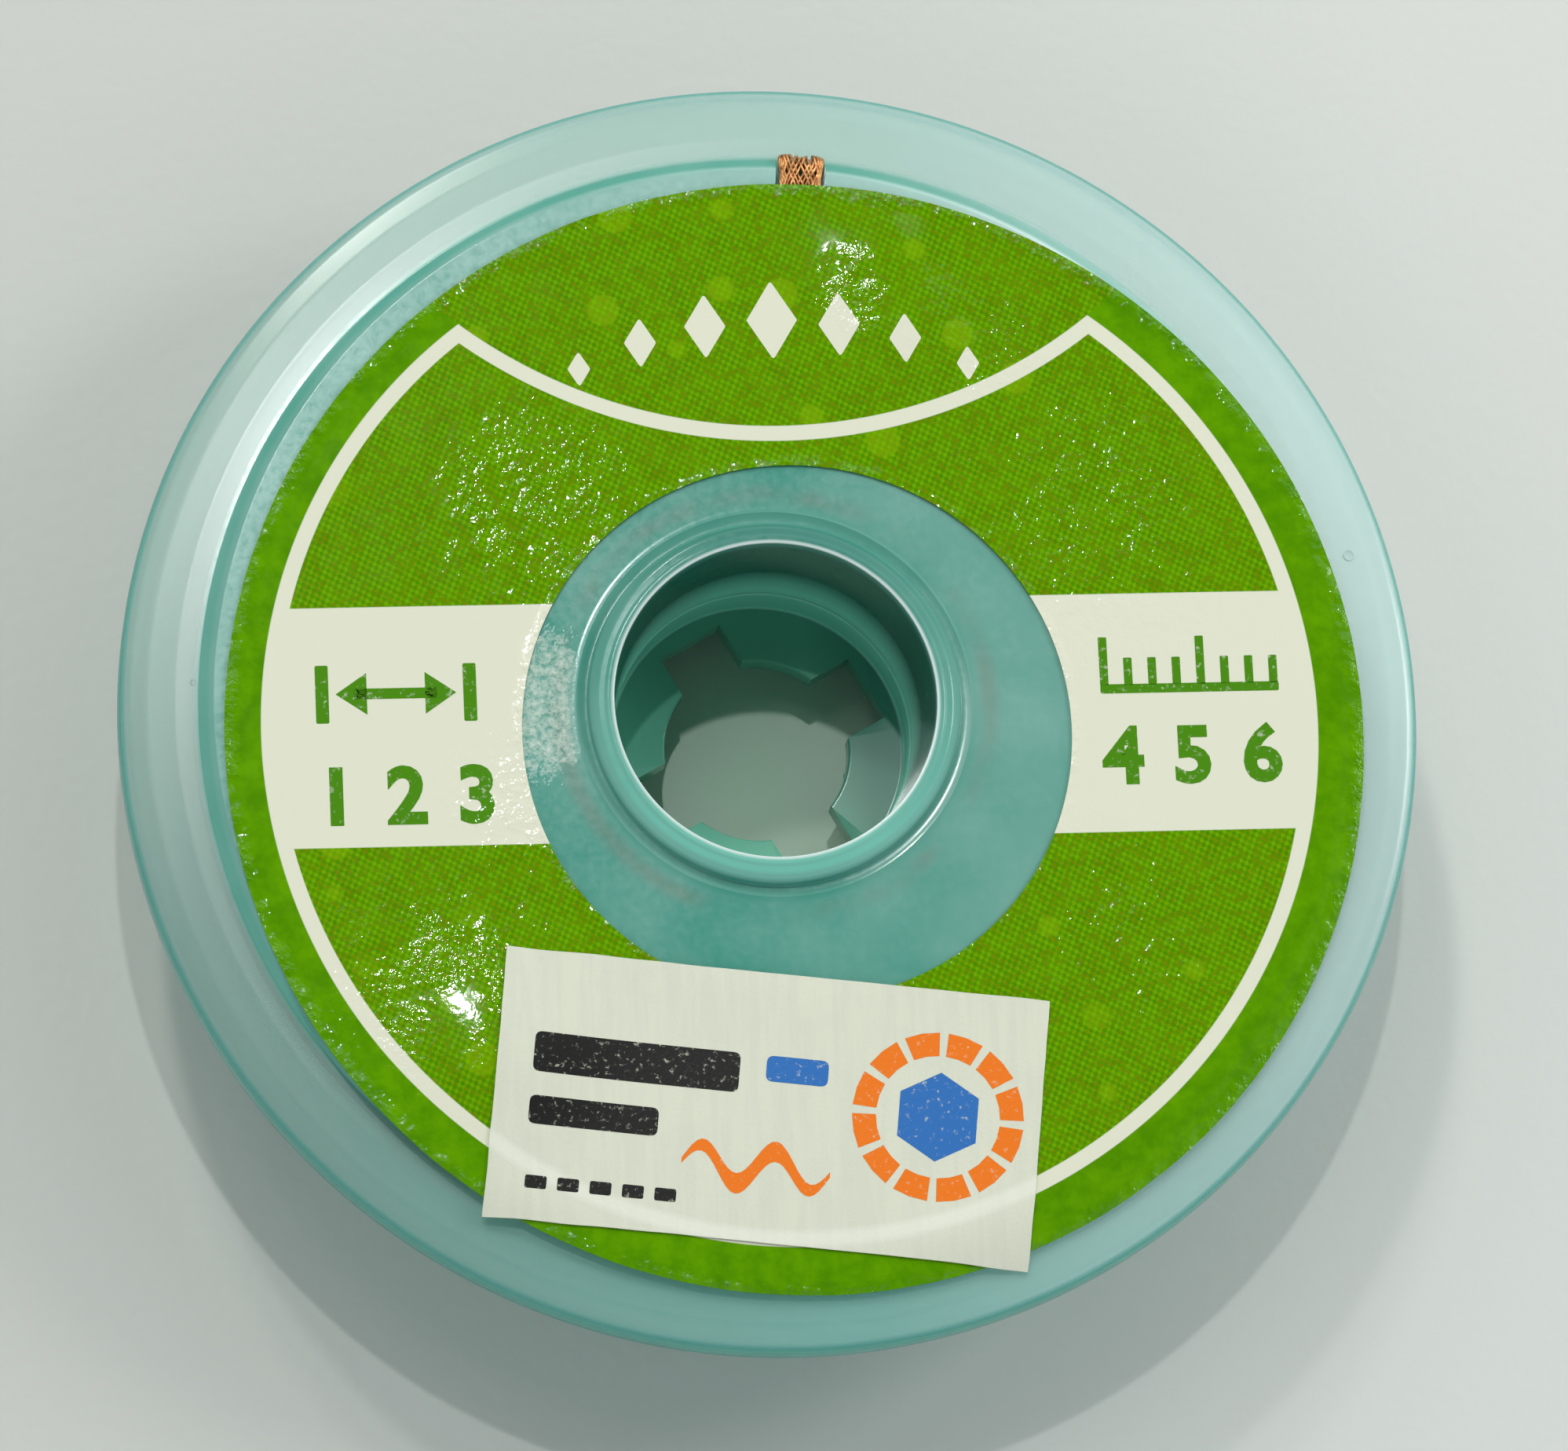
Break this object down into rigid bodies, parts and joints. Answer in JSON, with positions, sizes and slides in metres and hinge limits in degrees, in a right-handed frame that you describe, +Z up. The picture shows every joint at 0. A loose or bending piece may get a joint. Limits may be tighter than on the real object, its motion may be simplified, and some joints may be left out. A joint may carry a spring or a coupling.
{
  "type": "desoldering braid",
  "caption": "Copper desoldering braid coiled inside a flanged round plastic spool, its free end leaving through a slot in the spool's face.",
  "frame": {"origin": "middle of the spool's underside, on the surface that it lies on", "axes": "+Z up along the hub's axis, from the back plate towards the labelled face; +Y roughly towards the slot that the braid leaves by"},
  "size_m": [0.055, 0.055, 0.012],
  "materials": {
    "mint_plastic": "translucent, semi-gloss moulded",
    "copper_braid": "bright fluxed copper strands",
    "green_label": "glossy printed film",
    "white_paper": "matt paper sticker"
  },
  "bodies": {
    "root": {"front_half": "mint_plastic", "back_half": "mint_plastic", "braid": "copper_braid", "face_label": "green_label", "paper_sticker": "white_paper"}
  },
  "joints": []
}
